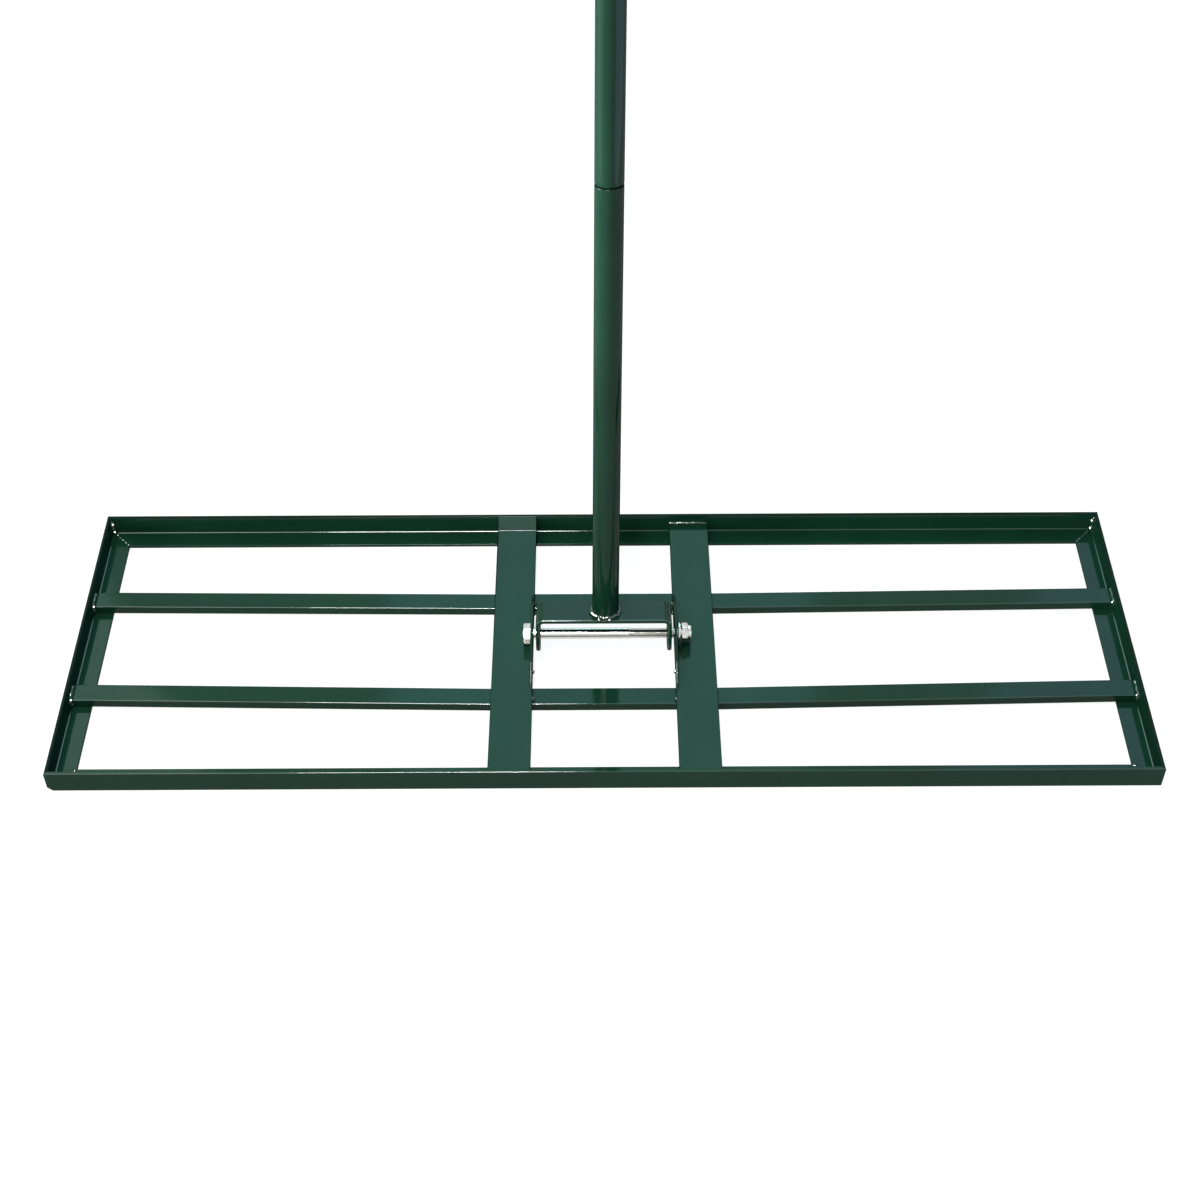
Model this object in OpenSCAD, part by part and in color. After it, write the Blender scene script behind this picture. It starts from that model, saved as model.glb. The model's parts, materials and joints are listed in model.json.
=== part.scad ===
// Lawn leveling rake: a flat welded head of steel angle with two crossbars and two straps,
// and a long sectional pole that swings on a bolt across the middle of the head.
// Millimetres, +Z up. The origin lies on the ground, in the middle of the front rail's sole.

/* [Head] */
// Width of the head, over the side rails
head_w = 762; // [560:1:1000]
// Depth of the head, over the front and back rails
head_d = 254; // [200:1:360]

/* [Rails] */
// Height of the upright leg of the angle
rail_h = 18; // [15:0.5:30]
// Width of the flat leg of the angle, over the heel
rail_leg = 17; // [12:0.5:30]
// Thickness of both legs
rail_t = 2.5; // [2.3:0.1:4]
// Radius in the inside corner of the angle
rail_bend = 0.5; // [0.5:0.1:3]
// Radius of the outer corner of the angle
rail_heel = 0.5; // [0.3:0.1:3]

/* [Crossbars] */
// Depth of a crossbar, front to back
bar_d = 15; // [10:0.5:24]
// Height of a crossbar
bar_h = 7; // [5:0.5:9]
// Distance between the crossbars' middles at their ends
bar_pitch = 91.6; // [70:0.1:120]
// How far the straps press the crossbars down
bar_dip = 2.2; // [0:0.1:2.2]
// How far the straps draw the back crossbar forward
back_bow = 1.4; // [0:0.1:4]
// How far the straps draw the front crossbar forward
front_bow = 3.6; // [0:0.1:6]

/* [Straps] */
// Width of a strap
strap_w = 29.5; // [20:0.5:50]
// Thickness of a strap
strap_t = 3; // [2:0.1:4]
// Clear distance between the straps
strap_gap = 102; // [80:0.5:140]
// Run of the turned-up back end of the left strap
strap_turn = 8; // [5:0.5:12]

/* [Lugs] */
// Thickness of a lug
lug_t = 2; // [1.5:0.1:5]
// Length of a lug along the strap
lug_l = 96; // [60:1:120]
// Height of a lug above the bolt's axis
lug_over = 8.5; // [6:0.5:14]

/* [Pivot bolt] */
// Height of the bolt's axis above the straps
pivot_rise = 9.2; // [8.5:0.1:14]
// Diameter of the bolt
bolt_d = 8; // [6:0.5:9]
// Clearance between the bolt and what it passes through, on the radius
bolt_clear = 0.1; // [0.05:0.01:0.2]
// Width of the bolt's head and nut across the flats
hex_af = 13; // [12:0.5:14]
// Thickness of the bolt's head
bolt_head_h = 5.3; // [4:0.1:8]
// Turn of the bolt's head about its axis
bolt_head_turn = 44; // [0:1:59]
// Diameter of the washer
washer_d = 16; // [14:0.5:17]
// Thickness of the washer
washer_t = 1.6; // [1:0.1:2.5]
// Free length of thread between the washer and the nut
nut_slack = 1.4; // [0:0.1:4]
// Height of the nut's hexagon
nut_h = 4.8; // [4:0.1:8]
// Height of the nut's round collar
nut_collar_h = 2.3; // [1.5:0.1:4]
// Turn of the nut about the bolt's axis
nut_turn = 44; // [0:1:59]
// Thickness of the nylon ring inside the collar
insert_wall = 1.2; // [0.8:0.1:1.4]

/* [Yoke] */
// Width of the strip that the yoke is bent from
yoke_strip = 25; // [20:0.5:36]
// Thickness of the strip
yoke_t = 3; // [2:0.1:5]
// Radius inside the yoke's bends
yoke_bend = 3; // [1:0.1:6]
// Height of the underside of the yoke's plate above the bolt's axis
yoke_drop = 16.7; // [14:0.1:30]
// Clearance between an ear of the yoke and the lug beside it
yoke_gap = 2.2; // [0.5:0.05:4]
// Lean of the pole at rest, away from the front rail
lean = 12; // [0:1:60]

/* [Pole] */
// Outer diameter of the pole
pole_d = 19; // [16:0.5:22]
// Wall of the pole's tubes
pole_wall = 1.2; // [0.8:0.1:2]
// Distance of the pole's foot from the middle of the yoke's plate, towards the nut
pole_off = 1.2; // [-4:0.1:4]
// Lean of the pole towards the nut from square with the plate, as it is welded
pole_skew = 0.5; // [-2:0.1:2]
// Length of the stub that is welded to the yoke
stub_l = 322; // [150:1:500]
// Length of each of the three sections that screw on above it
section_l = 500; // [300:1:700]
// Chamfer on the ends of the tubes
seam_chamfer = 0.4; // [0.2:0.1:0.6]

/* [Pole joints] */
// Length of the plug inside a tube's end
plug_l = 25; // [15:1:60]
// Diameter of the threaded stud
stud_d = 12; // [8:0.5:13]
// Length of the threaded stud
stud_l = 22; // [12:1:50]
// Room left in the socket past the end of the stud
socket_room = 4; // [1:0.5:10]
// Clearance of the plugs, studs and sleeves in what holds them, on the radius
sleeve_clear = 0.05; // [0.02:0.01:0.2]

/* [Hand grip] */
// Length of the foam sleeve
grip_l = 140; // [90:1:250]
// Wall of the foam sleeve
grip_wall = 4.5; // [2.5:0.1:8]
// Rounding of the sleeve's ends
grip_round = 2; // [0.5:0.1:2.4]
// Length of the end cap's plug inside the tube
cap_plug_l = 14; // [8:1:40]
// Wall of the end cap's plug
cap_wall = 2; // [1:0.1:4]
// Thickness of the end cap's rim
cap_h = 3; // [2:0.1:6]
// Rise of the end cap's crown above its rim
cap_rise = 2; // [0.5:0.1:5]

/* [Hidden] */
$fn = 64;

enamel = "#1f4d3a";
bright_zinc = "#d4d4cf";
nylon = "#e8e4d4";
foam = "#1c1c1d";
cap_plastic = "#151516";

// The flat of the sole starts where the heel's rounding ends.
sole_mid = (rail_heel + rail_leg) / 2;
head_mid_y = head_d / 2 - sole_mid;
inside_d = head_d - 2 * rail_t;

// Levels above the ground.
bar_low = rail_t - bar_dip;
strap_low = bar_low + bar_h;
strap_top = strap_low + strap_t;
pivot_z = strap_top + pivot_rise;

// Stations along the bolt and across the head.
strap_in = strap_gap / 2;
strap_out = strap_in + strap_w;
lug_out = strap_in + lug_t;
nut_x = lug_out + washer_t + nut_slack;
bolt_end = nut_x + nut_h + nut_collar_h;
bolt_r = bolt_d / 2;
bolt_hole_r = bolt_r + bolt_clear;
hex_r = hex_af / 2 / cos(30);
collar_step = 0.5;
collar_r = hex_af / 2 - collar_step;
insert_r = bolt_hole_r + insert_wall;
nut_chamfer = 0.8;

// Stations along the pole, from the bolt's axis.
yoke_half = strap_in - yoke_gap;
yoke_top = yoke_drop + yoke_t;
pole_r = pole_d / 2;
pole_bore = pole_r - pole_wall;
plug_r = pole_bore - sleeve_clear;
stud_r = stud_d / 2 - sleeve_clear;
seams = [for (i = [0:3]) yoke_top + stub_l + i * section_l];
pole_top = seams[3];
cap_r = pole_r + grip_wall - grip_round;
// Amount by which a cut runs past the face it opens.
past = 1;

// Stands its children on the ground, in the middle of the head.
module on_head() {
    translate([0, head_mid_y, 0]) children();
}

// Turns its children about the bolt, with Z square to the yoke's plate.
module on_yoke() {
    translate([0, head_mid_y, pivot_z]) rotate([-lean, 0, 0]) children();
}

// Stands its children on the yoke's plate, with Z along the pole.
module on_pole() {
    on_yoke()
    translate([pole_off, 0, yoke_top])
    rotate([0, pole_skew, 0])
    translate([0, 0, -yoke_top])
    children();
}

// Lays its children along the bolt, with Z towards the nut.
module on_bolt() {
    translate([0, head_mid_y, pivot_z]) rotate([0, 90, 0]) children();
}

// Extrudes an outline that is drawn in Y and Z along X.
module across(width) {
    rotate([90, 0, 90]) linear_extrude(width, center = true) children();
}

// A rectangle whose corner at the origin is rounded.
module heel_block(w, h, r) {
    translate([r, 0]) square([w - r, h]);
    translate([0, r]) square([w, h - r]);
    translate([r, r]) circle(r);
}

// Rolled angle, with its heel at the origin and both legs along the axes.
module angle_outline() {
    difference() {
        heel_block(rail_leg, rail_h, rail_heel);
        translate([rail_t, rail_t]) heel_block(rail_leg, rail_h, rail_bend);
    }
}

// A length of angle along X, mitred for a corner at both ends.
module rail(length) {
    color(enamel)
    intersection() {
        across(length) angle_outline();
        linear_extrude(rail_h)
        polygon([
            [-length / 2, 0],
            [length / 2, 0],
            [length / 2 - rail_leg, rail_leg],
            [rail_leg - length / 2, rail_leg]
        ]);
    }
}

module front_rail() {
    on_head() translate([0, -head_d / 2, 0]) rail(head_w);
}

module back_rail() {
    on_head() rotate(180) translate([0, -head_d / 2, 0]) rail(head_w);
}

module left_rail() {
    on_head() rotate(-90) translate([0, -head_w / 2, 0]) rail(head_d);
}

module right_rail() {
    on_head() rotate(90) translate([0, -head_w / 2, 0]) rail(head_d);
}

// Outline of a crossbar seen square on: level at its seats and under the straps, sloped between.
// Its lower end corners are cut to clear the bend of the side rails.
function bar_outline(size, low, drop, corner) =
    let (end = head_w / 2 - rail_t, seat = head_w / 2 - rail_leg)
    let (lower = [
        [-end, low + corner], [-end + corner, low], [-seat, low], [-strap_out, low - drop],
        [strap_out, low - drop], [seat, low], [end - corner, low], [end, low + corner]
    ])
    let (upper = [
        [end, low + size], [seat, low + size], [strap_out, low + size - drop],
        [-strap_out, low + size - drop], [-seat, low + size], [-end, low + size]
    ])
    concat(lower, upper);

// A crossbar with its ends on the side rails' flat legs and its middle drawn down and forward.
module crossbar(bow) {
    color(enamel)
    intersection() {
        linear_extrude(rail_t + bar_h) polygon(bar_outline(bar_d, -bar_d / 2, bow, 0));
        rotate([90, 0, 0])
        linear_extrude(2 * (bar_d + bow), center = true)
        polygon(bar_outline(bar_h, rail_t, bar_dip, rail_bend));
    }
}

module front_crossbar() {
    on_head() translate([0, -bar_pitch / 2, 0]) crossbar(front_bow);
}

module back_crossbar() {
    on_head() translate([0, bar_pitch / 2, 0]) crossbar(back_bow);
}

// The left strap, whose back end is turned up to the rim of the back rail.
module left_strap() {
    back = inside_d / 2;
    fold = back - strap_turn;
    slope = atan((rail_h - strap_top) / strap_turn);
    fold_low = fold + strap_t * tan(slope / 2);
    color(enamel)
    on_head()
    translate([-strap_in - strap_w / 2, 0, 0])
    across(strap_w)
    polygon([
        [-back, strap_low],
        [fold_low, strap_low],
        [back, strap_low + (back - fold_low) * tan(slope)],
        [back, rail_h],
        [fold, strap_top],
        [-back, strap_top]
    ]);
}

// The right strap, flat from rail to rail.
module right_strap() {
    color(enamel)
    on_head()
    translate([strap_in, -inside_d / 2, strap_low])
    cube([strap_w, inside_d, strap_t]);
}

// A low arched plate that stands on a strap's inner edge and carries the bolt.
module lug() {
    rise = pivot_rise + lug_over;
    arch_r = (pow(lug_l / 2, 2) + pow(rise, 2)) / (2 * rise);
    color(enamel)
    across(lug_t)
    difference() {
        intersection() {
            translate([0, strap_top + rise - arch_r]) circle(arch_r, $fn = 180);
            translate([-lug_l / 2, strap_top]) square([lug_l, rise]);
        }
        translate([0, pivot_z]) circle(bolt_hole_r);
    }
}

module left_lug() {
    on_head() translate([-strap_in - lug_t / 2, 0, 0]) lug();
}

module right_lug() {
    on_head() translate([strap_in + lug_t / 2, 0, 0]) lug();
}

// A hexagon of the bolt's size with the corners of its far end turned off.
module hex_block(height) {
    intersection() {
        cylinder(r = hex_r, h = height, $fn = 6);
        rotate_extrude()
        polygon([
            [0, 0],
            [hex_r, 0],
            [hex_r, height - nut_chamfer],
            [hex_af / 2 - nut_chamfer / 2, height],
            [0, height]
        ]);
    }
}

module pivot_bolt() {
    color(bright_zinc)
    on_bolt() {
        translate([0, 0, -lug_out]) rotate([180, 0, bolt_head_turn]) hex_block(bolt_head_h);
        translate([0, 0, -lug_out]) cylinder(r = bolt_r, h = lug_out + bolt_end);
    }
}

module pivot_washer() {
    color(bright_zinc)
    on_bolt()
    translate([0, 0, lug_out])
    difference() {
        cylinder(d = washer_d, h = washer_t);
        translate([0, 0, -past]) cylinder(r = bolt_hole_r, h = washer_t + 2 * past);
    }
}

// A lock nut: a plain hexagon with a round collar that holds a nylon ring.
module pivot_nut() {
    color(bright_zinc)
    on_bolt()
    translate([0, 0, nut_x])
    rotate(nut_turn)
    difference() {
        union() {
            hex_block(nut_h);
            translate([0, 0, nut_h - nut_chamfer])
            cylinder(r = collar_r, h = nut_collar_h + nut_chamfer);
        }
        translate([0, 0, -past]) cylinder(r = bolt_hole_r, h = nut_h + nut_collar_h + 2 * past);
        translate([0, 0, nut_h]) cylinder(r = insert_r, h = nut_collar_h + past);
    }
}

module nut_insert() {
    color(nylon)
    on_bolt()
    translate([0, 0, nut_x + nut_h])
    difference() {
        cylinder(r = insert_r - sleeve_clear, h = nut_collar_h);
        translate([0, 0, -past]) cylinder(r = bolt_hole_r, h = nut_collar_h + 2 * past);
    }
}

// Outline of a bent strip's outside or inside, with both upper corners rounded.
module bend_block(half, top, r) {
    translate([-half, -yoke_strip]) square([2 * half, top - r + yoke_strip]);
    translate([r - half, 0]) square([2 * (half - r), top]);
    for (side = [-1, 1]) translate([side * (half - r), top - r]) circle(r);
}

// The strip bent into a U: a plate under the pole and a round-ended ear at each side.
module pivot_yoke() {
    color(enamel)
    on_yoke()
    difference() {
        intersection() {
            rotate([90, 0, 0])
            linear_extrude(yoke_strip, center = true)
            difference() {
                bend_block(yoke_half, yoke_top, yoke_bend + yoke_t);
                bend_block(yoke_half - yoke_t, yoke_drop, yoke_bend);
            }
            across(2 * yoke_half) {
                circle(d = yoke_strip);
                translate([-yoke_strip / 2, 0]) square([yoke_strip, yoke_top]);
            }
        }
        rotate([0, 90, 0]) cylinder(r = bolt_hole_r, h = 2 * (yoke_half + past), center = true);
    }
}

// A length of round tube along the pole with its outer edges broken.
module tube(low, high) {
    color(enamel)
    on_pole()
    rotate_extrude()
    polygon([
        [pole_bore, low],
        [pole_r - seam_chamfer, low],
        [pole_r, low + seam_chamfer],
        [pole_r, high - seam_chamfer],
        [pole_r - seam_chamfer, high],
        [pole_bore, high]
    ]);
}

// The lowest tube, whose foot is cut to lie flat on the yoke's plate.
module pole_stub() {
    foot = pole_r * tan(abs(pole_skew));
    color(enamel)
    difference() {
        tube(yoke_top - foot, seams[0]);
        on_yoke()
        translate([pole_off - pole_d, -pole_d, yoke_top - pole_d])
        cube([2 * pole_d, 2 * pole_d, pole_d]);
    }
}

module lower_section() {
    tube(seams[0], seams[1]);
}

module middle_section() {
    tube(seams[1], seams[2]);
}

module upper_section() {
    tube(seams[2], seams[3]);
}

// A turned plug in the top of a tube, with the threaded stud that stands out of it.
module joint_stud(seam) {
    color(bright_zinc)
    on_pole() {
        translate([0, 0, seam - plug_l]) cylinder(r = plug_r, h = plug_l);
        translate([0, 0, seam]) cylinder(r = stud_r, h = stud_l);
    }
}

module lower_stud() {
    joint_stud(seams[0]);
}

module middle_stud() {
    joint_stud(seams[1]);
}

module upper_stud() {
    joint_stud(seams[2]);
}

// A threaded sleeve in the foot of the next tube, which takes the stud.
module joint_socket(seam) {
    depth = stud_l + socket_room;
    color(bright_zinc)
    on_pole()
    translate([0, 0, seam])
    difference() {
        cylinder(r = plug_r, h = depth);
        translate([0, 0, -past]) cylinder(d = stud_d, h = depth + 2 * past);
    }
}

module lower_socket() {
    joint_socket(seams[0]);
}

module middle_socket() {
    joint_socket(seams[1]);
}

module upper_socket() {
    joint_socket(seams[2]);
}

// A foam sleeve pushed over the top of the pole, with rounded ends.
module hand_grip() {
    grip_in = pole_r + sleeve_clear;
    color(foam)
    on_pole()
    translate([0, 0, pole_top - grip_l])
    rotate_extrude() {
        translate([grip_in, 0]) square([grip_wall - grip_round, grip_l]);
        translate([grip_in, grip_round]) square([grip_wall, grip_l - 2 * grip_round]);
        for (end = [grip_round, grip_l - grip_round])
            translate([grip_in + grip_wall - grip_round, end]) circle(grip_round);
    }
}

// A hollow plug that closes the top of the pole, with a crowned rim over the sleeve.
module end_cap() {
    crown_r = (pow(cap_r, 2) + pow(cap_rise, 2)) / (2 * cap_rise);
    color(cap_plastic)
    on_pole()
    translate([0, 0, pole_top])
    rotate_extrude() {
        translate([plug_r - cap_wall, -cap_plug_l]) square([cap_wall, cap_plug_l]);
        square([cap_r, cap_h]);
        intersection() {
            translate([0, cap_h + cap_rise - crown_r]) circle(crown_r, $fn = 180);
            translate([0, cap_h]) square([cap_r, cap_rise]);
        }
    }
}

front_rail();
back_rail();
left_rail();
right_rail();
front_crossbar();
back_crossbar();
left_strap();
right_strap();
left_lug();
right_lug();
pivot_bolt();
pivot_washer();
pivot_nut();
nut_insert();
pivot_yoke();
pole_stub();
lower_section();
middle_section();
upper_section();
lower_stud();
middle_stud();
upper_stud();
lower_socket();
middle_socket();
upper_socket();
hand_grip();
end_cap();
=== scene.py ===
import json
from math import asin, atan2, cos, pi, radians, sin, sqrt, tan

import bmesh
import bpy
from mathutils import Matrix, Vector, noise


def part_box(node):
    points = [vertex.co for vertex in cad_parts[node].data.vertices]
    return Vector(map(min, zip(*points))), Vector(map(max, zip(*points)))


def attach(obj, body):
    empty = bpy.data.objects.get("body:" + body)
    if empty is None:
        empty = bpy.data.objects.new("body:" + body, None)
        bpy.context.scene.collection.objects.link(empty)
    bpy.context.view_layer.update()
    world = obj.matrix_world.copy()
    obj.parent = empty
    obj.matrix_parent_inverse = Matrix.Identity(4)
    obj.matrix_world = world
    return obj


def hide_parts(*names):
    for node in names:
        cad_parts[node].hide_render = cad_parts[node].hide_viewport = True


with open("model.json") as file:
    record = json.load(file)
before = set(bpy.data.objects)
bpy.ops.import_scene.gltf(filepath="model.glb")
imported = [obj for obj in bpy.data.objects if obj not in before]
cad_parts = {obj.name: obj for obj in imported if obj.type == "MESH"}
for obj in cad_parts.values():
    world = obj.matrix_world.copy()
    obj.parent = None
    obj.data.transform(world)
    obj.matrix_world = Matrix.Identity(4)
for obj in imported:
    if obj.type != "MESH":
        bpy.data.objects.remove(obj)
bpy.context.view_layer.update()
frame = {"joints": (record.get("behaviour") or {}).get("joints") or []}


# The head's four rails are lengths of rolled steel angle, mitred at the corners and welded into a flat
# frame. Each is the angle's cross-section with its corners rounded as the mill leaves them, run out along
# the rail and mitred at both ends.
mm = 0.001
rail_wall = 2.5 * mm
rail_bend = 0.9 * mm
heel_round = 0.5 * mm
rim_round = 0.4 * mm
side_rim_round = 1.2 * mm
toe_round = 0.4 * mm
front_low, front_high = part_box("front_rail")
side_low, side_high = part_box("left_rail")
rail_leg = front_high.y - front_low.y
rail_height = front_high.z - front_low.z
head_width = front_high.x - front_low.x
head_depth = side_high.y - side_low.y
head_middle = (side_high.y + side_low.y) / 2


def linear(hex_colour):
    """Turns an sRGB hex colour into the linear one that a shader takes."""
    parts = [int(hex_colour[i:i + 2], 16) / 255 for i in (1, 3, 5)]
    return [c / 12.92 if c <= 0.04045 else ((c + 0.055) / 1.055) ** 2.4 for c in parts] + [1]


def add_node(tree, kind, values=None, links=None, **settings):
    """Adds one node with its settings, its plain values and its links."""
    made = tree.nodes.new("ShaderNode" + kind)
    for name, value in settings.items():
        setattr(made, name, value)
    for socket, value in (values or {}).items():
        made.inputs[socket].default_value = value
    for socket, source in (links or {}).items():
        tree.links.new(source, made.inputs[socket])
    return made


def new_finish(name):
    """Starts a material and gives its tree, its shader and its Object coordinates."""
    finish = bpy.data.materials.new(name)
    finish.use_nodes = True
    tree = finish.node_tree
    return finish, tree, tree.nodes["Principled BSDF"], add_node(tree, "TexCoord").outputs["Object"]


# Stoved enamel on steel: a deep green colour coat under its own glossy skin. The eye sees mirror-like
# gloss that an orange peel of a few millimetres makes slightly wavy, nibs of dust under the skin, and
# faint clouds and flecks where the spray lay thicker.
enamel, tree, shader, spot = new_finish("stoved_green_enamel")
clouds = add_node(tree, "TexNoise", {"Scale": 1 / (45 * mm), "Detail": 3.0}, {"Vector": spot})
flecks = add_node(tree, "TexNoise", {"Scale": 1 / (0.9 * mm), "Detail": 2.0}, {"Vector": spot})
thick_coat = add_node(
    tree, "MapRange", {"From Min": 0.35, "From Max": 0.65}, {"Value": clouds.outputs["Fac"]}
)
coat_colour = add_node(
    tree, "Mix", {6: linear("#0f2e22"), 7: linear("#123326")}, {0: thick_coat.outputs[0]}, data_type="RGBA"
)
fleck_share = add_node(
    tree, "MapRange", {"From Min": 0.45, "From Max": 0.75, "To Max": 0.4}, {"Value": flecks.outputs["Fac"]}
)
fleck_colour = add_node(
    tree, "Mix", {7: linear("#154031")}, {0: fleck_share.outputs[0], 6: coat_colour.outputs[2]},
    data_type="RGBA",
)
coat_colour.name = "coat_colour"
fleck_colour.name = "fleck_colour"
tree.links.new(fleck_colour.outputs[2], shader.inputs["Base Color"])
peel = add_node(tree, "TexNoise", {"Scale": 1 / (5 * mm), "Detail": 2.0}, {"Vector": spot})
ripple = add_node(tree, "TexNoise", {"Scale": 1 / (1.6 * mm), "Detail": 1.0}, {"Vector": spot})
nib_cells = add_node(tree, "TexVoronoi", {"Scale": 1 / (14 * mm)}, {"Vector": spot})
nibs = add_node(
    tree, "MapRange", {"From Min": 0.045, "From Max": 0.0}, {"Value": nib_cells.outputs["Distance"]}
)
peel_bump = add_node(
    tree, "Bump", {"Strength": 1.0, "Distance": 0.03 * mm}, {"Height": peel.outputs["Fac"]}
)
ripple_bump = add_node(
    tree, "Bump", {"Strength": 1.0, "Distance": 0.012 * mm},
    {"Height": ripple.outputs["Fac"], "Normal": peel_bump.outputs[0]},
)
nib_bump = add_node(
    tree, "Bump", {"Strength": 1.0, "Distance": 0.2 * mm},
    {"Height": nibs.outputs[0], "Normal": ripple_bump.outputs[0]},
)
tree.links.new(nib_bump.outputs[0], shader.inputs["Normal"])
tree.links.new(nib_bump.outputs[0], shader.inputs["Coat Normal"])
shader.inputs["Specular IOR Level"].default_value = 0.0
slant = add_node(tree, "LayerWeight", {"Blend": 0.5}, {"Normal": nib_bump.outputs[0]})
skin_gloss = add_node(
    tree, "MapRange", {"From Min": 0.5, "From Max": 1.0, "To Min": 0.26, "To Max": 0.0},
    {"Value": slant.outputs["Facing"]},
)
skin_gloss.name = "skin_gloss"
tree.links.new(skin_gloss.outputs[0], shader.inputs["Coat Weight"])
shader.inputs["Coat Roughness"].default_value = 0.07
shader.inputs["Coat IOR"].default_value = 1.5

# The same enamel where it ran together and stoved thicker and glossier: in the angle's root, over the weld
# beads, and along the edges and bends that catch the light.
pooled_enamel = enamel.copy()
pooled_enamel.name = "pooled_green_enamel"
pooled_enamel.node_tree.nodes["skin_gloss"].inputs["To Min"].default_value = 0.8
pooled_enamel.node_tree.nodes["Principled BSDF"].inputs["Coat IOR"].default_value = 1.7

# The same enamel in a darker green and with less gloss, on the steel's edges and rims and inside the pole's
# tubes: its darker green is painted shade along these edges and in these recesses.
shaded_edge_enamel = enamel.copy()
shaded_edge_enamel.name = "thin_green_enamel"
shaded_edge_enamel.node_tree.nodes["coat_colour"].inputs[6].default_value = linear("#0a1b14")
shaded_edge_enamel.node_tree.nodes["coat_colour"].inputs[7].default_value = linear("#0c2018")
shaded_edge_enamel.node_tree.nodes["fleck_colour"].inputs[7].default_value = linear("#0f271e")
shaded_edge_enamel.node_tree.nodes["skin_gloss"].inputs["To Min"].default_value = 0.1


def soften(bm, geom, size, steps=3, affect="EDGES", finish=-1):
    """Rounds the given edges or corners, and can give the rounding its own finish."""
    bmesh.ops.bevel(
        bm, geom=geom, offset=size, offset_type="OFFSET", segments=steps, profile=0.5, affect=affect,
        material=finish,
    )


def crisp_edges(bm, least=60):
    """Gives the edges where two faces meet at a real corner."""
    return [e for e in bm.edges if e.is_manifold and e.calc_face_angle() > radians(least)]


def drawn_section(outline, length):
    """Runs a cross-section in Y and Z out along X. Each corner comes with its own rounding."""
    bm = bmesh.new()
    corners = [bm.verts.new((-length / 2, y, z)) for y, z, rounding in outline]
    bm.faces.new(corners)
    for corner, (y, z, rounding) in zip(corners, outline):
        steps = 8 if rounding > 0.8 * mm else 4
        soften(bm, [corner], rounding, steps, "VERTICES")
    far_end = bmesh.ops.extrude_face_region(bm, geom=bm.faces[:], use_keep_orig=True)["geom"]
    far_corners = [v for v in far_end if isinstance(v, bmesh.types.BMVert)]
    bmesh.ops.translate(bm, verts=far_corners, vec=(length, 0, 0))
    return bm


def finish_piece(bm, name, finishes, body, nodes=(), crease=40):
    """Makes an object of the shape, which stands for CAD nodes and moves with a body."""
    bmesh.ops.recalc_face_normals(bm, faces=bm.faces)
    mesh = bpy.data.meshes.new(name)
    bm.to_mesh(mesh)
    bm.free()
    for finish in finishes:
        mesh.materials.append(finish)
    mesh.shade_smooth()
    mesh.set_sharp_from_angle(angle=radians(crease))
    piece = bpy.data.objects.new(name, mesh)
    bpy.context.scene.collection.objects.link(piece)
    piece.modifiers.new("even_shading", "WEIGHTED_NORMAL").keep_sharp = True
    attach(piece, body)
    if nodes:
        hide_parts(*nodes)


# The front left corner is ground back by hand, in three strokes. Each has its direction and its depth.
ground_corner = Vector((-head_width / 2, head_middle - head_depth / 2, 0))
ground_cuts = [
    ((-1, -0.3, -0.35), 1.3 * mm),
    ((-0.75, -0.4, -0.75), 2.5 * mm),
    ((-0.35, -0.3, -1), 1.3 * mm),
]


def angle_rail(node, length, reach, turn, rim):
    """One rail: a mitred length of angle, turned so that its flat leg points into the head."""
    bm = drawn_section(
        [
            (0, 0, heel_round),
            (rail_leg, 0, toe_round),
            (rail_leg, rail_wall, toe_round),
            (rail_wall, rail_wall, rail_bend),
            (rail_wall, rail_height, rim),
            (0, rail_height, rim),
        ],
        length,
    )
    # The rims of the back and side rails take the darker edge enamel, which is painted shade along those
    # rims.
    for face in bm.faces:
        x, y, z = face.calc_center_median()
        in_root = abs(x) < length / 4 and rail_wall < min(y, z) and max(y, z) < rail_wall + rail_bend
        on_rim = z > rail_height - rim
        if on_rim and node != "front_rail":
            face.material_index = 2
        elif in_root or on_rim and y < rim:
            face.material_index = 1
    for v in bm.verts:
        v.co.x += v.co.y if v.co.x < 0 else -v.co.y
    bmesh.ops.translate(bm, verts=bm.verts, vec=(0, -reach / 2, 0))
    bmesh.ops.rotate(bm, verts=bm.verts, matrix=Matrix.Rotation(radians(turn), 3, "Z"))
    bmesh.ops.translate(bm, verts=bm.verts, vec=(0, head_middle, 0))
    for direction, depth in ground_cuts:
        outward = Vector(direction).normalized()
        ground_to = ground_corner - outward * depth
        everything = bm.verts[:] + bm.edges[:] + bm.faces[:]
        cut = bmesh.ops.bisect_plane(
            bm, geom=everything, plane_co=ground_to, plane_no=outward, clear_outer=True
        )["geom_cut"]
        bmesh.ops.holes_fill(bm, edges=[e for e in cut if isinstance(e, bmesh.types.BMEdge)])
    finishes = [enamel, pooled_enamel, shaded_edge_enamel]
    finish_piece(bm, node + "_angle", finishes, "head", [node])


angle_rail("front_rail", head_width, head_depth, 0, rim_round)
angle_rail("back_rail", head_width, head_depth, 180, rim_round)
angle_rail("left_rail", head_depth, head_width, -90, side_rim_round)
angle_rail("right_rail", head_depth, head_width, 90, side_rim_round)


# The two crossbars are square-edged steel bars that sit on the flat legs of the side rails. The straps
# press them down and draw them forward a little in the middle, so each is cut where it leaves its seats
# and the straps, and then bent. The rounding of its upper front edge carries thick enamel.
bar_depth = 15 * mm
bar_height = 7 * mm
bar_edge = 0.45 * mm
least_slant = 0.2
bar_seat = head_width / 2 - rail_leg
strap_low, strap_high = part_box("right_strap")


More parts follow.
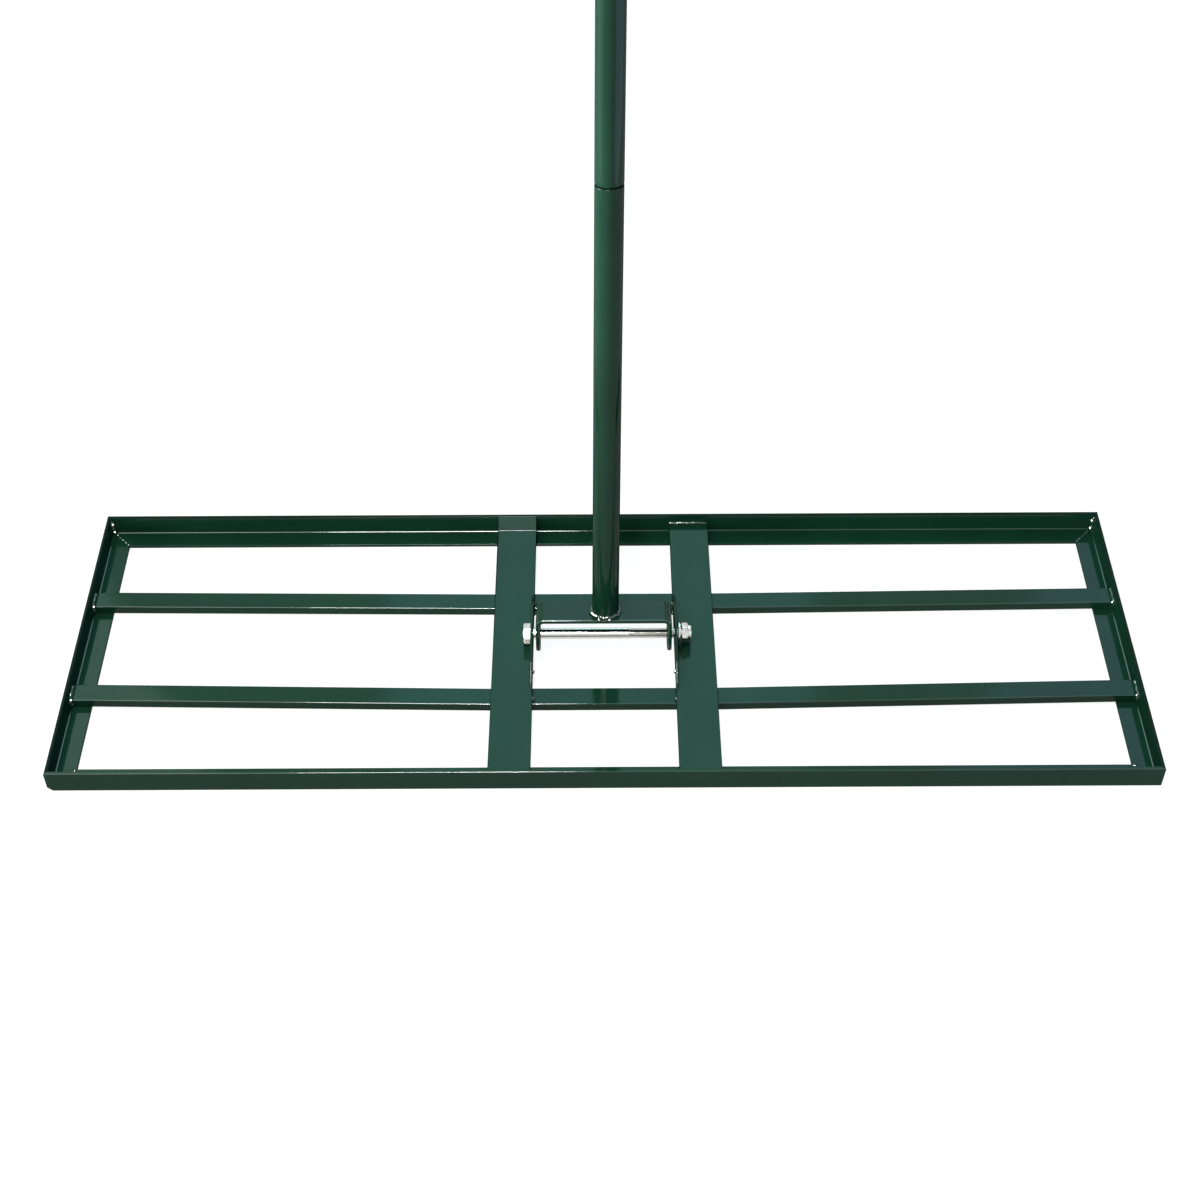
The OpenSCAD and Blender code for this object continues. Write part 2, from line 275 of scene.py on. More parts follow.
def crossbar(node):
    """One crossbar, level on its seats and under the straps and sloped between them."""
    low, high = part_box(node)
    bow = high.y - low.y - bar_depth
    dip = high.z - low.z - bar_height
    middle = Vector((0, high.y - bar_depth / 2, high.z - bar_height / 2))
    bm = bmesh.new()
    bmesh.ops.create_cube(bm, size=1)
    bmesh.ops.scale(bm, verts=bm.verts, vec=(high.x - low.x, bar_depth, bar_height))
    for cut in (-bar_seat, -strap_high.x, strap_high.x, bar_seat):
        everything = bm.verts[:] + bm.edges[:] + bm.faces[:]
        bmesh.ops.bisect_plane(bm, geom=everything, plane_co=(cut, 0, 0), plane_no=(1, 0, 0))
    for v in bm.verts:
        share = (bar_seat - abs(v.co.x)) / (bar_seat - strap_high.x)
        share = min(1, max(0, share))
        v.co += Vector((0, -bow, -dip)) * share
    bmesh.ops.translate(bm, verts=bm.verts, vec=middle)
    # Every rounded edge takes the darker edge enamel, which is painted shade, except the upper front one,
    # which takes the thick enamel.
    soften(bm, crisp_edges(bm), bar_edge, finish=1)
    bm.normal_update()
    for face in bm.faces:
        if face.normal.y < -least_slant and face.normal.z > least_slant:
            face.material_index = 2
    finishes = [enamel, shaded_edge_enamel, pooled_enamel]
    finish_piece(bm, node + "_bar", finishes, "head", [node])


crossbar("front_crossbar")
crossbar("back_crossbar")


# The two straps are flat steel that runs from the front rail to the back rail over the crossbars and
# carries the pivot. The right one stays flat. The left one's back end is turned up to the rail's rim.
strap_wall = 3 * mm
strap_edge = 0.4 * mm
strap_turn = 8 * mm
strap_corner = 0.1 * mm
fold_outside = 2 * mm
fold_inside = 0.5 * mm
strap_width = strap_high.x - strap_low.x
strap_top = strap_low.z + strap_wall


def strap(node, outline):
    """One strap, from its outline seen from the side."""
    low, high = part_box(node)
    bm = drawn_section(outline, strap_width)
    bmesh.ops.translate(bm, verts=bm.verts, vec=((low.x + high.x) / 2, 0, 0))
    # Its rounded edges take the darker edge enamel, which is painted shade along them.
    soften(bm, crisp_edges(bm), strap_edge, finish=1)
    finish_piece(bm, node + "_flat", [enamel, shaded_edge_enamel], "head", [node])


fold = strap_high.y - strap_turn
fold_slope = atan2(rail_height - strap_top, strap_turn)
fold_under = fold + strap_wall * tan(fold_slope / 2)
strap(
    "left_strap",
    [
        (strap_low.y, strap_low.z, strap_corner),
        (fold_under, strap_low.z, fold_outside),
        (strap_high.y, strap_low.z + (strap_high.y - fold_under) * tan(fold_slope), strap_corner),
        (strap_high.y, rail_height, strap_corner),
        (fold, strap_top, fold_inside),
        (strap_low.y, strap_top, strap_corner),
    ],
)
strap(
    "right_strap",
    [
        (strap_low.y, strap_low.z, strap_corner),
        (strap_high.y, strap_low.z, strap_corner),
        (strap_high.y, strap_top, strap_corner),
        (strap_low.y, strap_top, strap_corner),
    ],
)


# The two lugs are low arched plates that stand on the straps' inner edges and carry the bolt. Each is a
# ring of faces between the bolt hole and the arch, given the plate's thickness.
bolt_hole = 4.1 * mm
lug_edge = 0.7 * mm
round_steps = 96
pivot = Vector(frame["joints"][0]["pos_m"])
across = Matrix(((0, 0, 1, 0), (1, 0, 0, 0), (0, 1, 0, 0), (0, 0, 0, 1)))


def lug(node):
    """One lug, drawn flat about the bolt's axis and then stood up along the strap."""
    low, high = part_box(node)
    half = (high.y - low.y) / 2
    foot = pivot.z - low.z
    crest = high.z - pivot.z
    arch = (half ** 2 + (foot + crest) ** 2) / (2 * (foot + crest))
    bm = bmesh.new()
    arch_middle = crest - arch
    bmesh.ops.create_circle(bm, segments=round_steps, radius=bolt_hole)
    rim = bmesh.ops.create_circle(bm, segments=round_steps, radius=1)["verts"]
    for v in rim:
        toward = v.co.y * arch_middle
        reach = toward + sqrt(toward ** 2 - arch_middle ** 2 + arch ** 2)
        if v.co.y < 0:
            reach = min(reach, -foot / v.co.y)
        v.co = v.co * reach
    for side in (-half, half):
        toe = Vector((side, -foot, 0))
        min(rim, key=lambda v: (v.co - toe).length).co = toe
    bmesh.ops.bridge_loops(bm, edges=bm.edges[:])
    far_side = bmesh.ops.extrude_face_region(bm, geom=bm.faces[:], use_keep_orig=True)["geom"]
    far_verts = [v for v in far_side if isinstance(v, bmesh.types.BMVert)]
    bmesh.ops.translate(bm, verts=far_verts, vec=(0, 0, high.x - low.x))
    soften(bm, crisp_edges(bm), lug_edge, 2)
    bmesh.ops.transform(bm, matrix=Matrix.Translation((low.x, pivot.y, pivot.z)) @ across, verts=bm.verts)
    finish_piece(bm, node + "_plate", [enamel], "head", [node])


lug("left_lug")
lug("right_lug")


# The head is welded by hand and painted over: beads in the corners and along the mitres, across the ends
# of the bars and straps, and tacks along the lugs, with drops of spatter. A bead is a gridded sheet that is
# rolled into a rippled tube along its line, half sunk into the steel.
bead = 2 * mm
bead_sides = 12
rings_per_ripple = 6
lump_length = 3 * mm
drip_top = 0.08
root_lift = 0.6 * mm
rim_gap = 2.5 * mm
mitre_sink = 0.9 * mm
corner_inset = 1.2 * mm
end_drips = 12
tack_at = 29 * mm
tack_half = 1.6 * mm
weld_cover = 0.3 * mm


def along_line(line, share):
    """Gives the point at a share of a line's length, and the direction there."""
    spans = [(b - a).length for a, b in zip(line, line[1:])]
    left = share * sum(spans)
    for a, b, span in zip(line, line[1:], spans):
        if left <= span or b is line[-1]:
            return a.lerp(b, min(1, left / span)), (b - a).normalized()
        left -= span


def weld_run(bm, line, size, up, ripple=1.7 * mm):
    """Lays one bead along a line of points, swelling and thinning as hand welding does."""
    length = sum((b - a).length for a, b in zip(line, line[1:]))
    rings = max(10, round(length / ripple * rings_per_ripple))
    skin = bmesh.ops.create_grid(bm, x_segments=rings, y_segments=bead_sides, size=1)["verts"]
    for v in skin:
        share = (v.co.x + 1) / 2
        turn = (v.co.y + 1) * pi
        centre, ahead = along_line(line, share)
        side = ahead.cross(up).normalized()
        top = side.cross(ahead)
        to_end = min(share, 1 - share) * length / size
        taper = sqrt(max(0, 1 - max(0, 1 - to_end) ** 2))
        wave = 0.7 + 0.45 * abs(sin(pi * (share * length / ripple + 0.25 * cos(turn))))
        lump = 1 + 0.5 * noise.noise(centre / lump_length)
        v.co = centre + (side * cos(turn) + top * sin(turn)) * size * taper * wave * lump
    bmesh.ops.remove_doubles(bm, verts=skin, dist=0.001 * mm)


def drip_way(bead_at):
    """The way a drop faces to catch the light, which swings a little across the head."""
    return Vector((-0.04 - 0.55 * bead_at.x, -0.474 - 0.35 * bead_at.y, 0.85)).normalized()


def drip(bm, bead_at, reach, width, facing=None):
    """One drop of spatter on a bead. It set nearly flat on top, so it catches the light."""
    facing = facing or drip_way(bead_at)
    verts = bmesh.ops.create_uvsphere(bm, u_segments=20, v_segments=14, radius=width)["verts"]
    turn = Vector((0, 0, 1)).rotation_difference(facing).to_matrix()
    for v in verts:
        if v.co.z > 0:
            v.co.z *= drip_top
        v.co = bead_at + facing * reach + turn @ v.co


inner_x = head_width / 2 - rail_wall
inner_y = head_depth / 2 - rail_wall
toe_x = head_width / 2 - rail_leg
toe_y = head_depth / 2 - rail_leg
upward = Vector((0, 0, 1))
welds = bmesh.new()

# Each corner of the frame has one bead up the angles' walls and one along the mitre. Each end of a bar has
# one across it and down its front corner, with a drop.
for side_x in (-1, 1):
    for side_y in (-1, 1):
        root = Vector((side_x * inner_x, head_middle + side_y * inner_y, rail_wall + root_lift))
        wall_top = Vector((root.x, root.y, rail_height - rim_gap))
        leg_toe = Vector((side_x * toe_x, head_middle + side_y * toe_y, rail_wall - mitre_sink))
        weld_run(welds, [root, wall_top], 0.9 * bead, Vector((side_x, 0, 0)), ripple=3 * mm)
        weld_run(welds, [root, leg_toe], 0.75 * bead, upward, ripple=3.4 * mm)
    for bar in ("front_crossbar", "back_crossbar"):
        low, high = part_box(bar)
        back_end = Vector((side_x * inner_x, high.y - 1 * mm, high.z))
        front_end = Vector((side_x * inner_x, high.y - bar_depth, high.z - 0.2 * mm))
        foot_end = Vector((side_x * (inner_x - 0.5 * mm), front_end.y, rail_wall + 1.2 * mm))
        bar_line = [back_end, front_end, foot_end]
        weld_run(welds, bar_line, 0.8 * bead, Vector((side_x, 0, 0.3)), ripple=5 * mm)
        drip(welds, front_end - Vector((side_x * corner_inset, 0, 0)), 1.5 * mm, 0.8 * mm)

# The beads in the two back corners carry two drops each.
for side_x, sizes in ((1, (1.0, 1.2)), (-1, (0.7, 0.8))):
    for level, size in zip((4 * mm, 12 * mm), sizes):
        drip_at = Vector((side_x * (inner_x - corner_inset), head_middle + inner_y - corner_inset, level))
        drip(welds, drip_at, 1.6 * mm, size * mm)

# A bead crosses each strap's front end, and the right strap's back end, which is dotted with fine drops.
for end in ("left_strap", "right_strap"):
    low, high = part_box(end)
    left_end = Vector((low.x + 0.5 * mm, low.y + 0.2 * mm, strap_top))
    right_end = Vector((high.x - 0.5 * mm, low.y + 0.2 * mm, strap_top))
    weld_run(welds, [left_end, right_end], 0.7 * bead, upward)
left_end = Vector((strap_low.x - 0.3 * mm, strap_high.y, strap_top))
right_end = Vector((strap_high.x + 0.3 * mm, strap_high.y, strap_top))
weld_run(welds, [left_end, right_end], 0.8 * bead, upward)
for step in range(end_drips):
    chance = noise.noise(Vector((step * 1.7, 0, 0)))
    drip_at = left_end.lerp(right_end, (step + 0.5 + 0.6 * chance) / end_drips)
    drip(welds, drip_at, 1.8 * mm, (0.48 + 0.45 * chance) * mm)

# Each lug has two tacks along its foot, one with a drop, and one where its strap crosses each bar.
for plate, side_x in (("left_lug", -1), ("right_lug", 1)):
    low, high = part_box(plate)
    inner = low.x if side_x > 0 else high.x
    for y in (-tack_at, tack_at):
        tack = [Vector((inner, pivot.y + y + run, strap_top - 0.3 * mm)) for run in (-tack_half, tack_half)]
        weld_run(welds, tack, 0.6 * bead, upward)
    drip(welds, Vector((inner, pivot.y - tack_at, strap_top)), 1.3 * mm, 0.8 * mm)
    for bar in ("front_crossbar", "back_crossbar"):
        low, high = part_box(bar)
        tack = [Vector((inner, low.y + run, strap_low.z + 0.4 * mm)) for run in (2 * mm, 6 * mm)]
        weld_run(welds, tack, 0.75 * bead, upward)

# No bead comes through the outer faces of the angles.
weld_x = head_width / 2 - weld_cover
weld_y = head_depth / 2 - weld_cover
for v in welds.verts:
    v.co.x = min(weld_x, max(-weld_x, v.co.x))
    v.co.y = min(head_middle + weld_y, max(head_middle - weld_y, v.co.y))
    v.co.z = max(weld_cover, v.co.z)
finish_piece(welds, "head_welds", [pooled_enamel], "head")


# The pivot bolt is a bright zinc-plated hexagon bolt, rolled with a thread at its nut end. The head is a
# hexagon whose corners are turned off, and the thread is one tooth spun up along its helix.
bolt_low, bolt_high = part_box("pivot_bolt")
lug_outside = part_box("right_lug")[1].x
hex_flat = 6.5 * mm
hex_corner = 1.145 * hex_flat
hex_chamfer = 30
crown = 0.94 * hex_flat
head_turn = 44
bolt_radius = 4 * mm
thread_pitch = 1.25 * mm
thread_run = 44 * mm
thread_root = 0.84 * bolt_radius
steps_per_turn = 40
tip_radius = 0.72 * bolt_radius
tip_length = 0.5 * mm

# Bright zinc on steel: clear passivated plating, which gives the eye a silvery metal that is a little
# cloudy from the bath, with the fine marks of rolling and of the spanner.
zinc, tree, shader, spot = new_finish("bright_zinc_plating")
bath = add_node(tree, "TexNoise", {"Scale": 1 / (3 * mm), "Detail": 4.0}, {"Vector": spot})
plate_colour = add_node(
    tree, "Mix", {6: linear("#b9b5ad"), 7: linear("#d8d6d1")}, {0: bath.outputs["Fac"]}, data_type="RGBA"
)
tree.links.new(plate_colour.outputs[2], shader.inputs["Base Color"])
plate_haze = add_node(
    tree, "MapRange", {"From Min": 0.3, "From Max": 0.7, "To Min": 0.08, "To Max": 0.16},
    {"Value": bath.outputs["Fac"]},
)
tree.links.new(plate_haze.outputs[0], shader.inputs["Roughness"])
marks = add_node(tree, "TexNoise", {"Scale": 1 / (0.7 * mm), "Detail": 2.0}, {"Vector": spot})
mark_bump = add_node(
    tree, "Bump", {"Strength": 0.5, "Distance": 0.004 * mm}, {"Height": marks.outputs["Fac"]}
)
tree.links.new(mark_bump.outputs[0], shader.inputs["Normal"])
shader.inputs["Metallic"].default_value = 1.0


def grow_ring(bm, ring, radius, level):
    """Extrudes a ring of edges to a new radius and level, which may change round the ring."""
    made = bmesh.ops.extrude_edge_only(bm, edges=ring)["geom"]
    for v in made:
        if isinstance(v, bmesh.types.BMVert):
            angle = atan2(v.co.y, v.co.x)
            v.co = Vector((radius(angle) * cos(angle), radius(angle) * sin(angle), level(angle)))
    return [e for e in made if isinstance(e, bmesh.types.BMEdge)]


def hexagon(angle):
    """Radius of the hexagon at an angle, with its six corners just broken."""
    off_flat = (angle + pi) % (pi / 3) - pi / 6
    return min(hex_flat / cos(off_flat), hex_corner)


def turned_level(height, crown, downward=False):
    """Level of the turned-off corners of a hexagon: lowest at the corners, highest at the flats."""
    def level(angle):
        drop = (hexagon(angle) - crown) * tan(radians(hex_chamfer))
        return height + drop if downward else height - drop
    return level


def even(value):
    """The same value all round a ring."""
    return lambda angle: value


def start_ring(bm, radius, level):
    """A first ring of edges to grow a turned shape from."""
    verts = bmesh.ops.create_circle(bm, segments=round_steps, radius=1)["verts"]
    for v in verts:
        angle = atan2(v.co.y, v.co.x)
        v.co = Vector((radius(angle) * cos(angle), radius(angle) * sin(angle), level(angle)))
    return list({e for v in verts for e in v.link_edges})


bolt = bmesh.new()
head_under = -lug_outside
head_height = head_under - bolt_low.x
ring = start_ring(bolt, even(bolt_radius), even(0))
ring = grow_ring(bolt, ring, hexagon, even(0))
ring = grow_ring(bolt, ring, hexagon, turned_level(head_height, crown))
ring = grow_ring(bolt, ring, even(crown), even(head_height))
ring = grow_ring(bolt, ring, even(0.7 * crown), even(head_height))
bmesh.ops.edgeloop_fill(bolt, edges=ring)
bmesh.ops.rotate(bolt, verts=bolt.verts, matrix=Matrix.Rotation(pi, 3, "X"))
bmesh.ops.rotate(bolt, verts=bolt.verts, matrix=Matrix.Rotation(radians(head_turn), 3, "Z"))
bmesh.ops.translate(bolt, verts=bolt.verts, vec=(0, 0, head_under))
thread_foot = bolt_high.x - thread_run
ring = start_ring(bolt, even(bolt_radius), even(head_under))
ring = grow_ring(bolt, ring, even(bolt_radius), even(thread_foot - 0.6 * mm))
ring = grow_ring(bolt, ring, even(thread_root), even(thread_foot + 0.2 * mm))
ring = grow_ring(bolt, ring, even(thread_root), even(bolt_high.x - tip_length))
ring = grow_ring(bolt, ring, even(tip_radius), even(bolt_high.x))
bmesh.ops.edgeloop_fill(bolt, edges=ring)

# The tooth's outline, in shares of the bolt's radius and of the pitch.
tooth = [(0.985, 0.0), (0.985, 0.13), (0.83, 0.45), (0.83, 0.55), (0.985, 0.87), (0.985, 1.0)]
tooth_verts = []
for radius, level in tooth:
    at = (radius * bolt_radius, 0, thread_foot - thread_pitch + level * thread_pitch)
    tooth_verts.append(bolt.verts.new(at))
tooth_edges = [bolt.edges.new(pair) for pair in zip(tooth_verts, tooth_verts[1:])]
turns = int((thread_run - tip_length) / thread_pitch)
bmesh.ops.spin(
    bolt, geom=tooth_verts + tooth_edges, cent=(0, 0, 0), axis=(0, 0, 1), angle=2 * pi * turns,
    steps=steps_per_turn * turns, dvec=(0, 0, thread_pitch / steps_per_turn), use_merge=False,
)
bmesh.ops.remove_doubles(bolt, verts=bolt.verts, dist=0.002 * mm)
bmesh.ops.transform(bolt, matrix=Matrix.Translation((0, pivot.y, pivot.z)) @ across, verts=bolt.verts)
finish_piece(bolt, "pivot_bolt_plated", [zinc], "head", ["pivot_bolt"], crease=22)


# The washer is a stamped steel ring, plated like the bolt. It hangs loose on the thread between the lug
# and the nut, so it tips a little.
washer_low, washer_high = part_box("pivot_washer")
washer_radius = (washer_high.z - washer_low.z) / 2
washer_wall = washer_high.x - washer_low.x
washer_tip = 3
washer_edge = 0.2 * mm
washer_round = 0.5 * mm
washer = bmesh.new()
ring = start_ring(washer, even(bolt_hole), even(washer_edge))
ring = grow_ring(washer, ring, even(bolt_hole + washer_edge), even(0))
ring = grow_ring(washer, ring, even(washer_radius - washer_edge), even(0))
ring = grow_ring(washer, ring, even(washer_radius), even(washer_edge))
ring = grow_ring(washer, ring, even(washer_radius), even(washer_wall - washer_round))
ring = grow_ring(washer, ring, even(washer_radius - washer_round), even(washer_wall))
ring = grow_ring(washer, ring, even(bolt_hole + washer_edge), even(washer_wall))
ring = grow_ring(washer, ring, even(bolt_hole), even(washer_wall - washer_edge))
ring = grow_ring(washer, ring, even(bolt_hole), even(washer_edge))
bmesh.ops.remove_doubles(washer, verts=washer.verts, dist=0.002 * mm)
bmesh.ops.rotate(washer, verts=washer.verts, matrix=Matrix.Rotation(radians(washer_tip), 3, "X"))
washer_x = washer_low.x + washer_radius * sin(radians(washer_tip))
on_thread = Matrix.Translation((washer_x, pivot.y, pivot.z))
bmesh.ops.transform(washer, matrix=on_thread @ across, verts=washer.verts)
finish_piece(washer, "pivot_washer_plated", [zinc], "head", ["pivot_washer"], crease=22)


# The lock nut is a hexagon with a round collar that is rolled in over a nylon ring. It is not run right
# down, so the bolt keeps a little end play.
nut_low, nut_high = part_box("pivot_nut")
nut_hex = 4.8 * mm
nut_turn = 44
nut_mouth = 0.5 * mm
collar = 6 * mm
collar_roll = 1.1 * mm
roll_steps = 4
nut = bmesh.new()
nut_height = nut_high.x - nut_low.x
ring = start_ring(nut, even(bolt_hole), even(nut_mouth))
ring = grow_ring(nut, ring, even(bolt_hole + nut_mouth), even(0))
ring = grow_ring(nut, ring, even(crown), even(0))
ring = grow_ring(nut, ring, hexagon, turned_level(0, crown, downward=True))
ring = grow_ring(nut, ring, hexagon, turned_level(nut_hex, crown))
ring = grow_ring(nut, ring, even(collar), even(nut_hex + 0.1 * mm))
for step in range(roll_steps + 1):
    rise = step / roll_steps * pi / 2
    roll = collar - collar_roll + collar_roll * cos(rise)
    ring = grow_ring(nut, ring, even(roll), even(nut_height - collar_roll + collar_roll * sin(rise)))
ring = grow_ring(nut, ring, even(collar - 1.5 * mm), even(nut_height - 0.1 * mm))
ring = grow_ring(nut, ring, even(collar - 1.6 * mm), even(nut_height - 0.6 * mm))
ring = grow_ring(nut, ring, even(bolt_hole), even(nut_height - 0.7 * mm))
ring = grow_ring(nut, ring, even(bolt_hole), even(nut_mouth))
bmesh.ops.remove_doubles(nut, verts=nut.verts, dist=0.002 * mm)
bmesh.ops.rotate(nut, verts=nut.verts, matrix=Matrix.Rotation(radians(nut_turn), 3, "Z"))
bmesh.ops.transform(nut, matrix=Matrix.Translation((nut_low.x, pivot.y, pivot.z)) @ across, verts=nut.verts)
finish_piece(nut, "pivot_nut_plated", [zinc], "head", ["pivot_nut"], crease=22)

# Moulded nylon: the locking ring inside the collar, milky and slightly waxy. The solid's own shape is
# right, so it keeps its mesh.
nylon, tree, shader, spot = new_finish("milky_nylon")
milk = add_node(tree, "TexNoise", {"Scale": 1 / (1.5 * mm), "Detail": 2.0}, {"Vector": spot})
nylon_colour = add_node(
    tree, "Mix", {6: linear("#d9d3bf"), 7: linear("#ece7d8")}, {0: milk.outputs["Fac"]}, data_type="RGBA"
)
tree.links.new(nylon_colour.outputs[2], shader.inputs["Base Color"])
shader.inputs["Roughness"].default_value = 0.45
shader.inputs["IOR"].default_value = 1.53
bpy.data.objects["nut_insert"].material_slots[0].material = nylon


# The yoke is one strip of steel bent into a U, with a plate under the pole and a round-ended ear at each
# side that turns on the bolt. Half the strip is drawn flat round its bolt hole, mirrored, given its
# thickness, and bent. Its edges and the outside of its bends carry thick enamel.
yoke_width = 25 * mm
yoke_wall = 3 * mm
yoke_bend = 3 * mm
yoke_edge = 0.8 * mm
bend_cuts = 8
plate_low = 16.7 * mm
lower_low, lower_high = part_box("lower_section")
upper_low, upper_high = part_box("upper_section")
pole_way = (upper_low + upper_high - lower_low - lower_high).normalized()
lean_turn = Matrix.Rotation(-atan2(pole_way.y, pole_way.z), 4, "X")
on_yoke = Matrix.Translation(pivot) @ lean_turn
yoke_box_low, yoke_box_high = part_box("pivot_yoke")
ear_in = (yoke_box_high.x - yoke_box_low.x) / 2 - yoke_wall
plate_half = ear_in - yoke_bend
bend_run = (yoke_bend + yoke_wall / 2) * pi / 2
ear_run = plate_low - yoke_bend
hole_at = plate_half + bend_run + ear_run
yoke = bmesh.new()
bmesh.ops.create_circle(yoke, segments=64, radius=bolt_hole)
ear_rim = bmesh.ops.create_circle(yoke, segments=64, radius=yoke_width / 2)["verts"]
for v in ear_rim:
    if v.co.x < 0:
        v.co = v.co * (yoke_width / 2 / max(abs(v.co.x), abs(v.co.y)))
bmesh.ops.bridge_loops(yoke, edges=yoke.edges[:])
bmesh.ops.translate(yoke, verts=yoke.verts, vec=(hole_at, 0, 0))
ear_edge = hole_at - yoke_width / 2
rim_edges = [e for e in yoke.edges if all(abs(v.co.x - ear_edge) < 0.01 * mm for v in e.verts)]
run_in = bmesh.ops.extrude_edge_only(yoke, edges=rim_edges)["geom"]
run_verts = [v for v in run_in if isinstance(v, bmesh.types.BMVert)]
bmesh.ops.translate(yoke, verts=run_verts, vec=(-ear_edge, 0, 0))
everything = yoke.verts[:] + yoke.edges[:] + yoke.faces[:]
bmesh.ops.mirror(yoke, geom=everything, axis="X", merge_dist=0.01 * mm)
bmesh.ops.recalc_face_normals(yoke, faces=yoke.faces)
upper_skin = bmesh.ops.extrude_face_region(yoke, geom=yoke.faces[:], use_keep_orig=True)["geom"]
upper_verts = [v for v in upper_skin if isinstance(v, bmesh.types.BMVert)]
bmesh.ops.translate(yoke, verts=upper_verts, vec=(0, 0, yoke_wall))
bmesh.ops.recalc_face_normals(yoke, faces=yoke.faces)
soften(yoke, crisp_edges(yoke), yoke_edge, finish=1)
for side in (-1, 1):
    for cut in range(bend_cuts + 1):
        everything = yoke.verts[:] + yoke.edges[:] + yoke.faces[:]
        plane = (side * (plate_half + bend_run * cut / bend_cuts), 0, 0)
        bmesh.ops.bisect_plane(yoke, geom=everything, plane_co=plane, plane_no=(1, 0, 0))
for face in yoke.faces:
    middle = face.calc_center_median()
    along_bend = (abs(middle.x) - plate_half) / bend_run
    if 0.5 < along_bend < 0.75 and middle.z > 0.9 * yoke_wall:
        face.material_index = 1
for v in yoke.verts:
    side = 1 if v.co.x > 0 else -1
    bent = min(1, max(0, (abs(v.co.x) - plate_half) / bend_run)) * pi / 2
    down = max(0, abs(v.co.x) - plate_half - bend_run)
    flat = min(abs(v.co.x), plate_half)
    radius = yoke_bend + v.co.z
    level = plate_low - yoke_bend + radius * cos(bent) - down
    v.co = Vector((side * (flat + radius * sin(bent)), v.co.y, level))
bmesh.ops.transform(yoke, matrix=on_yoke, verts=yoke.verts)
finish_piece(yoke, "pivot_yoke_strip", [enamel, pooled_enamel], "handle", ["pivot_yoke"])


# The pole is four lengths of round steel tube that screw together end to end. The lowest is welded to
# the yoke. Each of the others has a short neck at its foot, which leaves a groove at the joint. A tube is
# an outline that is spun round the pole.
pole_radius = 9.5 * mm
pole_bore = 8.3 * mm
tube_edge = 0.3 * mm
joint_groove = 1.5 * mm
joint_neck = 8.5 * mm
plate_top = plate_low + yoke_wall
plate_up = lean_turn @ Vector((0, 0, 1))
lower_middle = (lower_low + lower_high) / 2
to_plate = (lower_middle - on_yoke @ Vector((0, 0, plate_top))).dot(plate_up) / pole_way.dot(plate_up)
pole_foot = lower_middle - pole_way * to_plate
skew_turn = Matrix.Rotation(asin(pole_way.x), 4, "Y")
on_pole = Matrix.Translation(pole_foot) @ lean_turn @ skew_turn @ Matrix.Translation((0, 0, -plate_top))
pole_start = on_pole @ Vector((0, 0, 0))
tube_nodes = ["pole_stub", "lower_section", "middle_section", "upper_section"]
section_half = (upper_low + upper_high - lower_low - lower_high).length / 8
tube_ends = [plate_top, (lower_middle - pole_start).length - section_half]
for section in tube_nodes[1:]:
    tube_ends.append(tube_ends[-1] + 2 * section_half)

# The pole's enamel lies on smooth drawn tube. It is glossier there, and it mirrors the straps and the floor
# between them. Its green is set darker than the head's enamel: painted shade over the whole pole.
shaded_pole_enamel = enamel.copy()
shaded_pole_enamel.name = "drawn_tube_green_enamel"
shaded_pole_enamel.node_tree.nodes["coat_colour"].inputs[6].default_value = linear("#0d2a1f")
shaded_pole_enamel.node_tree.nodes["coat_colour"].inputs[7].default_value = linear("#102f23")
shaded_pole_enamel.node_tree.nodes["fleck_colour"].inputs[7].default_value = linear("#133b2d")
shaded_pole_enamel.node_tree.nodes["skin_gloss"].inputs["To Min"].default_value = 0.34
shaded_pole_enamel.node_tree.nodes["Principled BSDF"].inputs["Coat Roughness"].default_value = 0.04


def turned(outline, inner_finish=0):
    """Spins an outline of radius and level round the pole. Inside inner_finish, it takes finish 1."""
    bm = bmesh.new()
    corners = [bm.verts.new((radius, 0, level)) for radius, level, rounding in outline]
    bm.faces.new(corners)
    for corner, (radius, level, rounding) in zip(corners, outline):
        if rounding:
            soften(bm, [corner], rounding, 5, "VERTICES")
    bmesh.ops.delete(bm, geom=bm.faces[:], context="FACES_ONLY")
    bmesh.ops.spin(
        bm, geom=bm.verts[:] + bm.edges[:], cent=(0, 0, 0), axis=(0, 0, 1), angle=2 * pi,
        steps=round_steps, use_merge=True,
    )
    bmesh.ops.remove_doubles(bm, verts=bm.verts, dist=0.002 * mm)
    for face in bm.faces:
        if face.calc_center_median().xy.length < inner_finish:
            face.material_index = 1
    bmesh.ops.transform(bm, matrix=on_pole, verts=bm.verts)
    return bm


# The inside of each tube and its joint neck take the darker edge enamel, which is painted shade in the bore
# and in the groove.
for node, low_end, high_end in zip(tube_nodes, tube_ends, tube_ends[1:]):
    groove = 0 if node == "pole_stub" else joint_groove
    tube = turned(
        [
            (pole_bore, low_end, 0),
            (joint_neck, low_end, 0),
            (joint_neck, low_end + groove, 0),
            (pole_radius, low_end + groove, tube_edge),
            (pole_radius, high_end, tube_edge),
            (pole_bore, high_end, 0),
        ],
        inner_finish=pole_radius - 0.2 * mm,
    )
    finish_piece(tube, node + "_tube", [shaded_pole_enamel, shaded_edge_enamel], "handle", [node])

